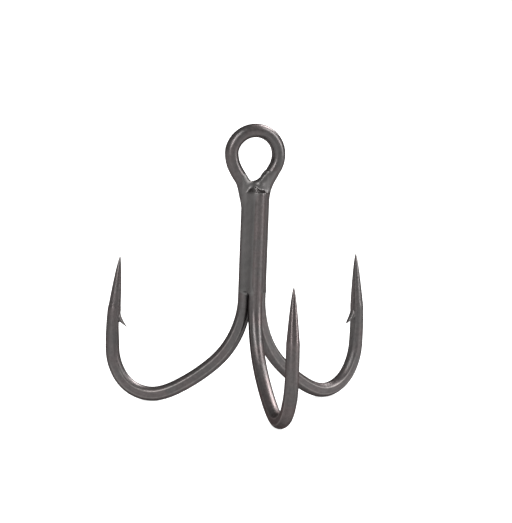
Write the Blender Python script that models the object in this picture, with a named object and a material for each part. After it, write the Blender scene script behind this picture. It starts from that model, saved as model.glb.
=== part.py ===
"""Treble fishing hook: one long wire bent into an eye and two hooks, a third hook brazed in front.

Metres, +Z up along the shank towards the eye. The origin is the centre of the eye's round crown.
The eye's hole runs along Y and the single hook reaches out towards -Y.
"""

import math

import bmesh
import bpy
from mathutils import Vector

MM = 0.001

# Wire
WIRE_DIAMETER = 1.64 * MM
FORGED_SPREAD = 0.08 * MM  # forging widens the bend by this, in the plane of the hook
FORGED_SQUEEZE = 0.11 * MM  # and brings its two flats this much nearer than the wire's diameter
POINT_DRESSING = 0.03 * MM  # taken off the wire's diameter just below the ground point

# Shank
SHANK_LENGTH = 10.81 * MM  # from where the eye's legs start to spread down to the bend
WIRE_SPACING_GAP = 0.12 * MM  # between neighbouring wires of the shank
SINGLE_TOP_HEIGHT = 2.20 * MM  # cut end of the single hook above the shank's top

# Eye
EYE_HOLE_DIAMETER = 4.21 * MM
EYE_LEG_STRAIGHT = 0.67 * MM
EYE_LEG_BEND_RADIUS = 5.62 * MM
EYE_LEG_SPREAD = math.radians(31.3)
EYE_SIDE_OFFSET = -0.27 * MM  # the eye sits this far to one side of the shank
LEFT_LEG_BOW = 0.19 * MM  # the left leg runs out this much farther just above the shank
LEFT_LEG_BOW_HEIGHT = 3.50 * MM
LEFT_LEG_TUCK = 0.11 * MM  # and is pressed in this much beside the eye's hole
LEFT_LEG_TUCK_START = 4.30 * MM
LEFT_LEG_TUCK_END = 7.30 * MM

# Arm of each hook, from the shank to the point: each arc has a radius and a turn
FLARE_RADIUS = 11.03 * MM
FLARE_TURN = math.radians(47.1)
LOWER_ARM_LENGTH = 5.51 * MM
LOWER_ARM_TURN = math.radians(13.9)
ENTRY_RADIUS = 8.88 * MM
ENTRY_TURN = math.radians(12.05)
BEND_RADIUS = 4.415 * MM
BEND_TURN = math.radians(73.75)
EXIT_RADIUS = 6.53 * MM
EXIT_TURN = math.radians(30.3)
SPEAR_LENGTH = 4.78 * MM
SPEAR_TURN = math.radians(7.45)
POINT_LENGTH = 6.55 * MM

# Ground point: thickness falls as this power of the distance left to the tip
POINT_POWER = 0.64

# Barb, a sliver cut from the inner side of the wire and bent up
BARB_SETBACK = 0.42 * MM  # its root starts this far below the ground point
BARB_HEIGHT = 1.00 * MM
BARB_LENGTH = 1.55 * MM
BARB_WIDTH = 0.95 * MM
BARB_SCOOP_DEPTH = 0.15 * MM
BARB_SCOOP_LENGTH = 2.50 * MM

# Directions of the hooks around the shank
SINGLE_AZIMUTH = math.radians(-90.0)
DOUBLE_SPREAD = math.radians(133.5)

# Braze
BRAZE_CLEARANCE = 0.04 * MM  # kept between every braze bead and the wires
BRAZE_LENGTH = 9.80 * MM  # from the shank's top down to the lower lip of the beads
BRAZE_RECESS = 0.18 * MM  # face of a bead below the line that touches its two wires
BRAZE_FACE_DISH = 0.05 * MM
BRAZE_THIN_EDGE = 0.10 * MM
BRAZE_LIP = 0.50 * MM
THROAT_HEIGHT = 3.20 * MM  # bottom of the eye's hole above the shank's top
THROAT_RECESS = 0.28 * MM  # front of the throat web behind the front of the eye's wire
THROAT_DISH_RADIUS = 0.72 * MM
THROAT_DROP = 0.50 * MM  # the web's top falls by this towards its front and back
THROAT_START_GAP = 0.25 * MM

# Mesh
SIDES = 16
ARC_STEP = math.radians(8.0)
TWIST_STEPS = 4
POINT_STEPS = (0.10, 0.24, 0.40, 0.56, 0.71, 0.84, 0.93, 0.98, 1.0)

WIRE_RADIUS = WIRE_DIAMETER / 2.0
FORGED_WIDTH = WIRE_DIAMETER + FORGED_SPREAD
FORGED_THICKNESS = WIRE_DIAMETER - FORGED_SQUEEZE
POINT_WIRE_DIAMETER = WIRE_DIAMETER - POINT_DRESSING
BRAZE_LEVEL = WIRE_RADIUS - BRAZE_RECESS
THROAT_HALF_DEPTH = WIRE_RADIUS - THROAT_RECESS
SHANK_CIRCLE = (WIRE_DIAMETER + WIRE_SPACING_GAP) / math.sqrt(3.0)
CROWN_RADIUS = (EYE_HOLE_DIAMETER + WIRE_DIAMETER) / 2.0
SHANK_HALF_SPACING = SHANK_CIRCLE * math.cos(math.radians(30.0))
EYE_LEG_STRAIGHT_2 = (
    CROWN_RADIUS * math.cos(EYE_LEG_SPREAD)
    - SHANK_HALF_SPACING
    - EYE_LEG_BEND_RADIUS * (1.0 - math.cos(EYE_LEG_SPREAD))
) / math.sin(EYE_LEG_SPREAD)
SHANK_TOP_Z = -(
    EYE_LEG_STRAIGHT
    + EYE_LEG_BEND_RADIUS * math.sin(EYE_LEG_SPREAD)
    + EYE_LEG_STRAIGHT_2 * math.cos(EYE_LEG_SPREAD)
    + CROWN_RADIUS * math.sin(EYE_LEG_SPREAD)
)
BEND_START_Z = SHANK_TOP_Z - SHANK_LENGTH
SHANK_AXIS_X = -EYE_SIDE_OFFSET
SHANK_AXIS_Y = -SHANK_CIRCLE * math.sin(math.radians(30.0))
RIGHT_AZIMUTH = math.radians(90.0) - DOUBLE_SPREAD / 2.0
LEFT_AZIMUTH = math.radians(90.0) + DOUBLE_SPREAD / 2.0
CLEAR_RADIUS = WIRE_RADIUS + BRAZE_CLEARANCE

# Each hook: where its wire stands in the shank, where its arm points, side of its first flat
HOOKS = {
    "single": (SINGLE_AZIMUTH, SINGLE_AZIMUTH, 1.0),
    "right": (math.radians(30.0), RIGHT_AZIMUTH, 1.0),
    "left": (math.radians(150.0), LEFT_AZIMUTH, -1.0),
}


def smooth(t):
    """0 to 1 with flat ends."""
    t = min(1.0, max(0.0, t))
    return t * t * (3.0 - 2.0 * t)


def shank_position(azimuth):
    """Centre of the shank wire that stands at this direction around the shank, as x and y."""
    x = SHANK_AXIS_X + SHANK_CIRCLE * math.cos(azimuth)
    y = SHANK_AXIS_Y + SHANK_CIRCLE * math.sin(azimuth)
    return x, y


def section(half_width, half_thickness):
    """Outline of the wire: a circle cut by two flats, as points across and along the hook's plane."""
    least = math.pi / SIDES
    corner = max(least, math.acos(min(1.0, half_thickness / half_width)))
    count = SIDES // 2
    points = []
    for side in (1.0, -1.0):
        for i in range(count):
            angle = corner + (math.pi - 2.0 * corner) * i / (count - 1)
            u = side * half_width * math.sin(angle)
            v = side * half_width * math.cos(angle)
            points.append((u, v))
    return points


def arm_segments():
    """Lengths and turns of the arm, from the shank to the start of the ground point."""
    return [
        (FLARE_RADIUS * FLARE_TURN, FLARE_TURN),
        (LOWER_ARM_LENGTH, LOWER_ARM_TURN),
        (ENTRY_RADIUS * ENTRY_TURN, ENTRY_TURN),
        (BEND_RADIUS * BEND_TURN, BEND_TURN),
        (EXIT_RADIUS * EXIT_TURN, EXIT_TURN),
        (SPEAR_LENGTH, SPEAR_TURN),
    ]


def follow(rho, z, heading, length, turn, steps):
    """Points along one arc, each as reach, height, heading and distance from the arc's start."""
    points = []
    for i in range(1, steps + 1):
        part = i / steps
        angle = turn * part
        if abs(turn) < 1e-9:
            along = length * part
            points.append(
                (rho + along * math.sin(heading), z - along * math.cos(heading), heading, along)
            )
            continue
        radius = length / turn
        end = heading + angle
        step_rho = radius * (math.cos(heading) - math.cos(end))
        step_z = radius * (math.sin(heading) - math.sin(end))
        points.append((rho + step_rho, z + step_z, end, length * part))
    return points


def arm_centreline():
    """Centreline of an arm from the shank's lower end to the start of the ground point."""
    points = [(0.0, BEND_START_Z, 0.0, 0.0)]
    joints = [0.0]
    done = 0.0
    for length, turn in arm_segments():
        rho, z, heading, _ = points[-1]
        steps = max(2, math.ceil(turn / ARC_STEP))
        for r, h, a, s in follow(rho, z, heading, length, turn, steps):
            points.append((r, h, a, done + s))
        done += length
        joints.append(done)
    return points, joints


def arm_halves(s, joints):
    """Half width and half thickness of the wire at a distance along the arm."""
    flare_mid = joints[1] * 0.45
    bend_end = joints[4]
    exit_end = joints[5]
    end = joints[6]
    forged = smooth(s / flare_mid)
    if s <= bend_end:
        width = WIRE_RADIUS + (FORGED_WIDTH / 2.0 - WIRE_RADIUS) * forged
        thick = WIRE_RADIUS + (FORGED_THICKNESS / 2.0 - WIRE_RADIUS) * forged
        return width, thick
    back = smooth((s - bend_end) / (exit_end - bend_end))
    width_back = smooth((s - bend_end) / (end - bend_end))
    width = FORGED_WIDTH / 2.0 + (POINT_WIRE_DIAMETER - FORGED_WIDTH) / 2.0 * width_back
    thick = FORGED_THICKNESS / 2.0 + (POINT_WIRE_DIAMETER - FORGED_THICKNESS) / 2.0 * back
    return width, thick


def arm_stations(hook):
    """Stations of one arm: centre, direction towards the inner side, direction across, halves."""
    seat, azimuth, mirror = HOOKS[hook]
    x0, y0 = shank_position(seat)
    outward = Vector((math.cos(azimuth), math.sin(azimuth), 0.0))
    across = Vector((-math.sin(azimuth), math.cos(azimuth), 0.0)) * mirror
    base = Vector((x0, y0, 0.0))
    points, joints = arm_centreline()
    stations = []
    for rho, z, heading, s in points:
        width, thick = arm_halves(s, joints)
        inner = outward * math.cos(heading) + Vector((0.0, 0.0, math.sin(heading)))
        centre = base + outward * rho + Vector((0.0, 0.0, z))
        stations.append((centre, inner, across, width, thick))
    rho, z, heading, _ = points[-1]
    ahead = outward * math.sin(heading) - Vector((0.0, 0.0, math.cos(heading)))
    inner = stations[-1][1]
    start = stations[-1][0]
    full = POINT_WIRE_DIAMETER / 2.0
    for part in POINT_STEPS:
        half = full * (1.0 - part) ** POINT_POWER
        centre = start + ahead * POINT_LENGTH * part
        stations.append((centre, inner, across, half, half))
    return stations


def barb_frame(hook):
    """Where the barb's root meets the wire's inner face: point, towards the tip, inwards, across."""
    stations = arm_stations(hook)
    centre, inner, across, width, _ = stations[-1 - len(POINT_STEPS)]
    tip = stations[-1][0]
    ahead = tip - centre
    ahead = (ahead - inner * ahead.dot(inner)).normalized()
    bow = BARB_SETBACK * BARB_SETBACK * SPEAR_TURN / (2.0 * SPEAR_LENGTH)
    return centre + inner * (width + bow) - ahead * BARB_SETBACK, ahead, inner, across


def eye_offset(height):
    """Sideways shift and lean of an eye leg at a height above the shank's top."""
    rise = height - EYE_LEG_STRAIGHT
    if rise <= 0.0:
        return 0.0, 0.0
    lean = math.asin(min(math.sin(EYE_LEG_SPREAD), rise / EYE_LEG_BEND_RADIUS))
    shift = EYE_LEG_BEND_RADIUS * (1.0 - math.cos(lean))
    extra = rise - EYE_LEG_BEND_RADIUS * math.sin(lean)
    return shift + extra * math.tan(lean), lean


def eye_slide(height):
    """How far the eye has moved to its side at a height above the shank's top."""
    return EYE_SIDE_OFFSET * smooth(height / -SHANK_TOP_Z)


def swell(part):
    """0 at both ends of the range 0 to 1 and 1 in its middle."""
    if part <= 0.0 or part >= 1.0:
        return 0.0
    return (4.0 * part * (1.0 - part)) ** 1.6


def left_leg_bow(height):
    """How much farther out the left leg stands than the right one, at a height above the shank."""
    tuck_span = LEFT_LEG_TUCK_END - LEFT_LEG_TUCK_START
    out = LEFT_LEG_BOW * swell(height / LEFT_LEG_BOW_HEIGHT)
    return out - LEFT_LEG_TUCK * swell((height - LEFT_LEG_TUCK_START) / tuck_span)


def left_leg_slope(height):
    """Lean that the bow adds to the left leg."""
    step = 0.01 * MM
    return math.atan((left_leg_bow(height + step) - left_leg_bow(height - step)) / (2.0 * step))


def eye_centreline():
    """The eye from the right shank wire up and over to the left one, as x, z and heading."""
    half = [(SHANK_HALF_SPACING, SHANK_TOP_Z, math.pi)]
    pieces = (
        (EYE_LEG_STRAIGHT, 0.0, 1),
        (EYE_LEG_BEND_RADIUS * EYE_LEG_SPREAD, -EYE_LEG_SPREAD, 4),
        (EYE_LEG_STRAIGHT_2, 0.0, 1),
        (CROWN_RADIUS * (math.pi / 2 + EYE_LEG_SPREAD), math.pi / 2 + EYE_LEG_SPREAD, 12),
    )
    for length, turn, steps in pieces:
        x, z, heading = half[-1]
        for r, h, a, _ in follow(x, z, heading, length, turn, steps):
            half.append((r, h, a))
    return half


def eye_stations():
    """Stations of the eye, from the left shank wire over the crown to the right one."""
    half = eye_centreline()
    right = []
    for x, z, heading in half:
        outer = Vector((-math.cos(heading), 0.0, -math.sin(heading)))
        slide = eye_slide(z - SHANK_TOP_Z)
        centre = Vector((SHANK_AXIS_X + x + slide, 0.0, z))
        right.append((centre, outer, Vector((0.0, 1.0, 0.0)), WIRE_RADIUS, WIRE_RADIUS))
    left = []
    for x, z, heading in half[:-1]:
        outer = Vector((math.cos(heading), 0.0, -math.sin(heading)))
        slide = eye_slide(z - SHANK_TOP_Z)
        bow = left_leg_bow(z - SHANK_TOP_Z)
        centre = Vector((SHANK_AXIS_X - x + slide - bow, 0.0, z))
        left.append((centre, outer, Vector((0.0, 1.0, 0.0)), WIRE_RADIUS, WIRE_RADIUS))
    return left + right[::-1]


def shank_stations(hook, start_azimuth):
    """Rings between the eye's leg and the arm, turning from the eye's plane to the arm's."""
    seat, end_azimuth, mirror = HOOKS[hook]
    x, y = shank_position(seat)
    stations = []
    for i in range(1, TWIST_STEPS):
        part = i / TWIST_STEPS
        azimuth = start_azimuth + (end_azimuth - start_azimuth) * part
        outward = Vector((math.cos(azimuth), math.sin(azimuth), 0.0))
        across = Vector((-math.sin(azimuth), math.cos(azimuth), 0.0)) * mirror
        centre = Vector((x, y, SHANK_TOP_Z - SHANK_LENGTH * part))
        stations.append((centre, outward, across, WIRE_RADIUS, WIRE_RADIUS))
    return stations


def new_object(name, bm, material):
    """Closes a mesh with outward faces and links it under its name."""
    bmesh.ops.recalc_face_normals(bm, faces=bm.faces)
    if bm.calc_volume(signed=True) < 0.0:
        bmesh.ops.reverse_faces(bm, faces=bm.faces)
    mesh = bpy.data.meshes.new(name)
    bm.to_mesh(mesh)
    bm.free()
    obj = bpy.data.objects.new(name, mesh)
    bpy.context.collection.objects.link(obj)
    if material is not None:
        mesh.materials.append(material)
    for polygon in mesh.polygons:
        polygon.use_smooth = True
    return obj


def loft(name, rings, start_apex, end_apex, material):
    """Skins rings of equal length, each end closed by a face or by an apex."""
    bm = bmesh.new()
    made = []
    for ring in rings:
        made.append([bm.verts.new(point) for point in ring])
    count = len(made[0])
    for first, second in zip(made, made[1:]):
        for i in range(count):
            j = (i + 1) % count
            bm.faces.new((first[i], first[j], second[j], second[i]))
    for ring, apex in ((made[0], start_apex), (made[-1], end_apex)):
        if apex is None:
            bm.faces.new(ring)
            continue
        top = bm.verts.new(apex)
        for i in range(count):
            bm.faces.new((ring[i], ring[(i + 1) % count], top))
    return new_object(name, bm, material)


def ring_points(station):
    """Points of one ring of wire."""
    centre, inner, across, width, thick = station
    return [centre + inner * u + across * v for u, v in section(width, thick)]


def barb_solid(hook):
    """The raised sliver, its root buried in the wire."""
    origin, ahead, inner, across = barb_frame(hook)
    depth = BARB_SCOOP_DEPTH
    stages = (
        (0.35, -2.2 * depth, -0.14, -3.6 * depth, 0.90),
        (0.00, 0.02, -0.42, -2.2 * depth, 1.00),
        (-0.30, 0.20, -0.60, -0.40 * depth, 0.86),
        (-0.62, 0.52, -0.80, 0.45, 0.55),
        (-0.88, 0.86, -0.93, 0.83, 0.24),
    )
    rings = []
    for index, (top_t, top_n, low_t, low_n, wide) in enumerate(stages):
        half = BARB_WIDTH * wide / 2.0
        if index == 0:
            top_height, low_height = top_n, low_n
        elif index == 1:
            top_height, low_height = top_n * BARB_HEIGHT, low_n
        elif index == 2:
            top_height, low_height = top_n * BARB_HEIGHT, low_n
        else:
            top_height, low_height = top_n * BARB_HEIGHT, low_n * BARB_HEIGHT
        top = origin + ahead * top_t * BARB_LENGTH + inner * top_height
        low = origin + ahead * low_t * BARB_LENGTH + inner * low_height
        ridge = top + (top - low).normalized() * 0.03 * MM
        rings.append(
            [
                low - across * half,
                low + across * half,
                top + across * half * 0.72,
                ridge,
                top - across * half * 0.72,
            ]
        )
    apex = origin - ahead * BARB_LENGTH + inner * BARB_HEIGHT
    return helper(loft("barb_" + hook, rings, None, apex, None))


def scoop_cutter(hook):
    """The shallow flat left where the sliver was raised."""
    origin, ahead, inner, across = barb_frame(hook)
    root = -0.60 * BARB_LENGTH
    slope = -0.52
    tall = 1.6 * BARB_HEIGHT
    far = root - BARB_SCOOP_LENGTH
    curve = SPEAR_TURN / (2.0 * SPEAR_LENGTH)
    bow = ((BARB_SETBACK - far) ** 2 - BARB_SETBACK**2) * curve
    outline = (
        (root, -BARB_SCOOP_DEPTH),
        (far, bow + 0.03 * MM),
        (far, tall),
        (root + slope * (tall + BARB_SCOOP_DEPTH), tall),
    )
    rings = []
    for side in (-1.0, 1.0):
        shift = across * side * POINT_WIRE_DIAMETER
        rings.append([origin + ahead * t + inner * n + shift for t, n in outline])
    return helper(loft("scoop_" + hook, rings, None, None, None))


def helper(obj):
    """Marks a solid that only shapes another one."""
    obj.hide_render = True
    obj.display_type = "WIRE"
    return obj


def add_boolean(obj, operation, other):
    """Cuts or joins another solid with the exact solver."""
    modifier = obj.modifiers.new(operation.lower() + "_" + other.name, "BOOLEAN")
    modifier.operation = operation
    modifier.solver = "EXACT"
    modifier.object = other


def raise_barb(obj, hook):
    """Cuts the scoop and adds the barb on one arm."""
    add_boolean(obj, "DIFFERENCE", scoop_cutter(hook))
    add_boolean(obj, "UNION", barb_solid(hook))


def double_hook_wire(material):
    """One wire: left hook, eye and right hook."""
    left_arm = arm_stations("left")
    right_arm = arm_stations("right")
    left_shank = shank_stations("left", math.pi)
    right_shank = shank_stations("right", 0.0)
    stations = left_arm[:-1][::-1]
    stations += left_shank[::-1]
    stations += eye_stations()
    stations += right_shank
    stations += right_arm[:-1]
    rings = [ring_points(station) for station in stations]
    obj = loft("double_hook_wire", rings, left_arm[-1][0], right_arm[-1][0], material)
    raise_barb(obj, "left")
    raise_barb(obj, "right")
    return obj


def single_hook_wire(material):
    """The third hook, its shank cut square just below the eye."""
    x, y = shank_position(SINGLE_AZIMUTH)
    arm = arm_stations("single")
    _, inner, across, width, thick = arm[0]
    top_z = SHANK_TOP_Z + SINGLE_TOP_HEIGHT
    edge = 0.12 * WIRE_DIAMETER
    stations = [
        (Vector((x, y, top_z)), inner, across, width - edge, thick - edge),
        (Vector((x, y, top_z - edge * 0.35)), inner, across, width - edge * 0.3, thick - edge * 0.3),
        (Vector((x, y, top_z - edge)), inner, across, width, thick),
        (Vector((x, y, SHANK_TOP_Z)), inner, across, width, thick),
    ]
    stations += arm[:-1]
    rings = [ring_points(station) for station in stations]
    obj = loft("single_hook_wire", rings, None, arm[-1][0], material)
    raise_barb(obj, "single")
    return obj


def wire_at(name, z):
    """Centre and clear radius of a shank wire's level section: the single, right or left one."""
    x, y = shank_position(HOOKS[name][0])
    if name == "single":
        return Vector((x, y)), CLEAR_RADIUS
    side = 1.0 if name == "right" else -1.0
    height = z - SHANK_TOP_Z
    shift, lean = eye_offset(height)
    slide = eye_slide(height) if height > 0.0 else 0.0
    if name == "left":
        shift += left_leg_bow(height)
        lean += abs(left_leg_slope(height))
    return Vector((x + side * shift + slide, y)), CLEAR_RADIUS / math.cos(lean)


def groove_ring(first, second, z, fill):
    """Level section of the bead between two wires; fill 1 brings its face up to its full level."""
    a, radius_a = wire_at(first, z)
    b, radius_b = wire_at(second, z)
    along = (b - a).normalized()
    away = Vector((along.y, -along.x))
    middle = (a + b) / 2.0
    axis = Vector((SHANK_AXIS_X, SHANK_AXIS_Y))
    if away.dot(middle - axis) < 0.0:
        away = -away
    distance = (b - a).length
    half_gap = (distance - BRAZE_THIN_EDGE) / 2.0
    radius = max(radius_a, radius_b)
    low = math.sqrt(max(0.0, radius * radius - half_gap * half_gap))
    high = low + (BRAZE_LEVEL - low) * fill
    levels = [low + (high - low) * i / 3.0 for i in range(4)]
    side_a = [(-distance / 2.0 + math.sqrt(radius_a**2 - h * h), h) for h in levels]
    side_b = [(distance / 2.0 - math.sqrt(radius_b**2 - h * h), h) for h in levels]
    dish = BRAZE_FACE_DISH * fill
    outline = side_a + [(0.0, high - dish)] + side_b[::-1]
    ring = []
    for across, out in outline:
        point = middle + along * across + away * out
        ring.append(Vector((point.x, point.y, z)))
    return ring


def braze_bead(name, first, second, top_z, material):
    """Bead along the outer groove between two wires, with a rounded lip at each end."""
    low_z = SHANK_TOP_Z - BRAZE_LENGTH
    rings = []
    for part, fill in ((0.0, 0.30), (0.25, 0.68), (0.6, 0.90), (1.0, 1.0)):
        rings.append(groove_ring(first, second, low_z + BRAZE_LIP * part, fill))
    count = 4
    upper = top_z - BRAZE_LIP
    start = max(SHANK_TOP_Z, low_z + BRAZE_LIP * 2.0)
    rings.append(groove_ring(first, second, min(start, upper), 1.0))
    if upper > start:
        for i in range(1, count + 1):
            rings.append(groove_ring(first, second, start + (upper - start) * i / count, 1.0))
    for part, fill in ((0.5, 0.92), (0.85, 0.70), (1.0, 0.35)):
        rings.append(groove_ring(first, second, upper + BRAZE_LIP * part, fill))
    return loft(name, rings, None, None, material)


def braze_core(material):
    """Filler in the closed channel between the three wires."""
    low_z = SHANK_TOP_Z - BRAZE_LENGTH + BRAZE_LIP
    distance = SHANK_CIRCLE * math.sqrt(3.0)
    reach = min(1.0, (distance - BRAZE_THIN_EDGE) / (2.0 * CLEAR_RADIUS))
    half_angle = math.radians(30.0) - math.acos(reach)
    outline = []
    for seat in (HOOKS["single"][0], HOOKS["right"][0], HOOKS["left"][0]):
        x, y = shank_position(seat)
        for i in range(4):
            angle = seat + math.pi + half_angle * (1.0 - 2.0 * i / 3.0)
            outline.append((x + CLEAR_RADIUS * math.cos(angle), y + CLEAR_RADIUS * math.sin(angle)))
    rings = []
    for z in (low_z, SHANK_TOP_Z):
        rings.append([Vector((x, y, z)) for x, y in outline])
    return loft("braze_core", rings, None, None, material)


def throat_start():
    """Height above the shank's top where the eye's legs are far enough apart for the throat bead."""
    height = EYE_LEG_STRAIGHT
    step = 0.02 * MM
    while height < THROAT_HEIGHT * 0.8:
        shift, lean = eye_offset(height)
        gap = 2.0 * (SHANK_HALF_SPACING + shift - CLEAR_RADIUS / math.cos(lean))
        if gap >= THROAT_START_GAP:
            return height
        height += step
    return height


def throat_edge(height, depth):
    """Half the room between the eye's legs at a height, this far in front of or behind them."""
    shift, lean = eye_offset(height)
    part = math.sqrt(max(0.0, 1.0 - (depth / CLEAR_RADIUS) ** 2))
    return SHANK_HALF_SPACING + shift - CLEAR_RADIUS / math.cos(lean) * part


def braze_throat(material):
    """Web of braze across the bottom of the eye's hole, dished at the top."""
    start = throat_start()
    layers = []
    for i in range(5):
        share = i / 2.0 - 1.0
        depth = THROAT_HALF_DEPTH * share
        crest = THROAT_HEIGHT - THROAT_DROP * share * share
        rim = crest
        for _ in range(40):
            reach = min(throat_edge(rim, depth), THROAT_DISH_RADIUS * 0.95)
            dish = THROAT_DISH_RADIUS - math.sqrt(THROAT_DISH_RADIUS**2 - reach**2)
            rim = crest + dish
        side = []
        for k in range(6):
            height = start + (rim - start) * k / 5.0
            side.append((throat_edge(height, depth), height))
        wide = side[-1][0]
        top = []
        for k in (1, 2, 3, 4):
            x = wide * (1.0 - k / 2.5)
            dish = THROAT_DISH_RADIUS - math.sqrt(max(0.0, THROAT_DISH_RADIUS**2 - x * x))
            top.append((x, crest + dish))
        outline = side + top
        for x, height in side[::-1]:
            extra = CLEAR_RADIUS * (1.0 / math.cos(left_leg_slope(height)) - 1.0)
            outline.append((extra - x - left_leg_bow(height), height))
        layer = []
        for x, height in outline:
            layer.append(
                Vector((SHANK_AXIS_X + x + eye_slide(height), depth, SHANK_TOP_Z + height))
            )
        layers.append(layer)
    return loft("braze_throat", layers, None, None, material)


def metal(name, colour, roughness):
    """A plated metal."""
    material = bpy.data.materials.new(name)
    material.use_nodes = True
    shader = material.node_tree.nodes["Principled BSDF"]
    shader.inputs["Base Color"].default_value = colour
    shader.inputs["Metallic"].default_value = 1.0
    shader.inputs["Roughness"].default_value = roughness
    return material


def double_wire_plating():
    """Black nickel over the double hook's wire."""
    return metal("double_wire_plating", (0.105, 0.098, 0.096, 1.0), 0.34)


def single_wire_plating():
    """Black nickel over the single hook's wire."""
    return metal("single_wire_plating", (0.105, 0.098, 0.096, 1.0), 0.34)


def braze_plating(label):
    """Black nickel over a braze bead, a little duller and greener than over the wire."""
    return metal(label + "_plating", (0.110, 0.112, 0.105, 1.0), 0.42)


def clear_scene():
    """Removes whatever the file starts with."""
    for obj in list(bpy.data.objects):
        bpy.data.objects.remove(obj, do_unlink=True)


def build():
    """Builds every piece of the hook."""
    clear_scene()
    double_hook_wire(double_wire_plating())
    single_hook_wire(single_wire_plating())
    front_top = SHANK_TOP_Z + SINGLE_TOP_HEIGHT - BRAZE_CLEARANCE
    rear_top = SHANK_TOP_Z + throat_start() - BRAZE_LIP
    braze_bead("braze_bead_left", "left", "single", front_top, braze_plating("braze_bead_left"))
    braze_bead("braze_bead_right", "single", "right", front_top, braze_plating("braze_bead_right"))
    braze_bead("braze_bead_rear", "right", "left", rear_top, braze_plating("braze_bead_rear"))
    braze_core(braze_plating("braze_core"))
    braze_throat(braze_plating("braze_throat"))


build()
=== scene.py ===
"""Treble hook: fine wires, ground points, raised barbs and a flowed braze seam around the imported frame."""
import math

import bmesh
import bpy
import numpy as np
from mathutils import Matrix, Vector


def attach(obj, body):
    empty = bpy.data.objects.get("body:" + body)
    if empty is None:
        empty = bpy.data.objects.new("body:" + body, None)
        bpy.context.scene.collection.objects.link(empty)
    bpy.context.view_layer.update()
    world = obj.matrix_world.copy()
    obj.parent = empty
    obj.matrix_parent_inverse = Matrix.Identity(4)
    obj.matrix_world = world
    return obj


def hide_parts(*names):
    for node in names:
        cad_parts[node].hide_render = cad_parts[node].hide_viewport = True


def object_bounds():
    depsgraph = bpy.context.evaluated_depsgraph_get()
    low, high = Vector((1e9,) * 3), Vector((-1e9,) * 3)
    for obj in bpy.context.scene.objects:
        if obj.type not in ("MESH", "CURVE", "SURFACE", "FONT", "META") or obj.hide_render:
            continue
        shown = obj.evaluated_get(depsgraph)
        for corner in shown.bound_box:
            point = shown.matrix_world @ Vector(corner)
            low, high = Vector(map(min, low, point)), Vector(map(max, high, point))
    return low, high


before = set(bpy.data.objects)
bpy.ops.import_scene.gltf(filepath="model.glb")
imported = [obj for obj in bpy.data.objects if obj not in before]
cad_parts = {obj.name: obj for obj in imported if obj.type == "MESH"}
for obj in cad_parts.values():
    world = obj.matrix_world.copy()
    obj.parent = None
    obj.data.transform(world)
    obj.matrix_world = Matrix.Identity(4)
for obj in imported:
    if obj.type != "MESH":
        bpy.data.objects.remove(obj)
cad_low, cad_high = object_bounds()

MM = 0.001

# Wire and shank, as the frame has them
WIRE_DIAMETER = 1.64 * MM
FORGED_SPREAD = 0.08 * MM
FORGED_SQUEEZE = 0.11 * MM
POINT_DRESSING = 0.03 * MM
SHANK_LENGTH = 10.81 * MM
WIRE_SPACING_GAP = 0.12 * MM
SINGLE_TOP_HEIGHT = 2.20 * MM

# Eye
EYE_HOLE_DIAMETER = 4.21 * MM
EYE_LEG_STRAIGHT = 0.67 * MM
EYE_LEG_BEND_RADIUS = 5.62 * MM
EYE_LEG_SPREAD = math.radians(31.3)
EYE_SIDE_OFFSET = -0.27 * MM
LEFT_LEG_BOW = 0.19 * MM
LEFT_LEG_BOW_HEIGHT = 3.50 * MM
LEFT_LEG_TUCK = 0.11 * MM
LEFT_LEG_TUCK_START = 4.30 * MM
LEFT_LEG_TUCK_END = 7.30 * MM

# Arm: radius and turn of each arc from the shank to the point
FLARE_RADIUS = 11.03 * MM
FLARE_TURN = math.radians(47.1)
LOWER_ARM_LENGTH = 5.51 * MM
LOWER_ARM_TURN = math.radians(13.9)
ENTRY_RADIUS = 8.88 * MM
ENTRY_TURN = math.radians(12.05)
BEND_RADIUS = 4.415 * MM
BEND_TURN = math.radians(73.75)
EXIT_RADIUS = 6.53 * MM
EXIT_TURN = math.radians(30.3)
SPEAR_LENGTH = 4.78 * MM
SPEAR_TURN = math.radians(7.45)
POINT_LENGTH = 6.55 * MM
POINT_POWER = 0.64

# Barb
BARB_SETBACK = 0.42 * MM
BARB_HEIGHT = 1.00 * MM
BARB_LENGTH = 1.55 * MM
BARB_WIDTH = 0.95 * MM
BARB_SCOOP_DEPTH = 0.15 * MM
BARB_SCOOP_LENGTH = 2.50 * MM

DOUBLE_SPREAD = math.radians(133.5)

# Mesh fineness and section details
RING_STEP = 0.30 * MM
FLAT_CORNER = math.radians(27.5)
FLAT_EDGE_SOFTNESS = 0.010 * MM
POINT_FACET = 0.035  # how square the ground point is

# Derived sizes
WIRE_RADIUS = WIRE_DIAMETER / 2.0
FORGED_WIDTH = WIRE_DIAMETER + FORGED_SPREAD
FORGED_THICKNESS = WIRE_DIAMETER - FORGED_SQUEEZE
POINT_WIRE_DIAMETER = WIRE_DIAMETER - POINT_DRESSING
SHANK_CIRCLE = (WIRE_DIAMETER + WIRE_SPACING_GAP) / math.sqrt(3.0)
CROWN_RADIUS = (EYE_HOLE_DIAMETER + WIRE_DIAMETER) / 2.0
SHANK_HALF_SPACING = SHANK_CIRCLE * math.cos(math.radians(30.0))
EYE_LEG_STRAIGHT_2 = (
    CROWN_RADIUS * math.cos(EYE_LEG_SPREAD)
    - SHANK_HALF_SPACING
    - EYE_LEG_BEND_RADIUS * (1.0 - math.cos(EYE_LEG_SPREAD))
) / math.sin(EYE_LEG_SPREAD)
SHANK_TOP_Z = -(
    EYE_LEG_STRAIGHT
    + EYE_LEG_BEND_RADIUS * math.sin(EYE_LEG_SPREAD)
    + EYE_LEG_STRAIGHT_2 * math.cos(EYE_LEG_SPREAD)
    + CROWN_RADIUS * math.sin(EYE_LEG_SPREAD)
)
BEND_START_Z = SHANK_TOP_Z - SHANK_LENGTH
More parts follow.
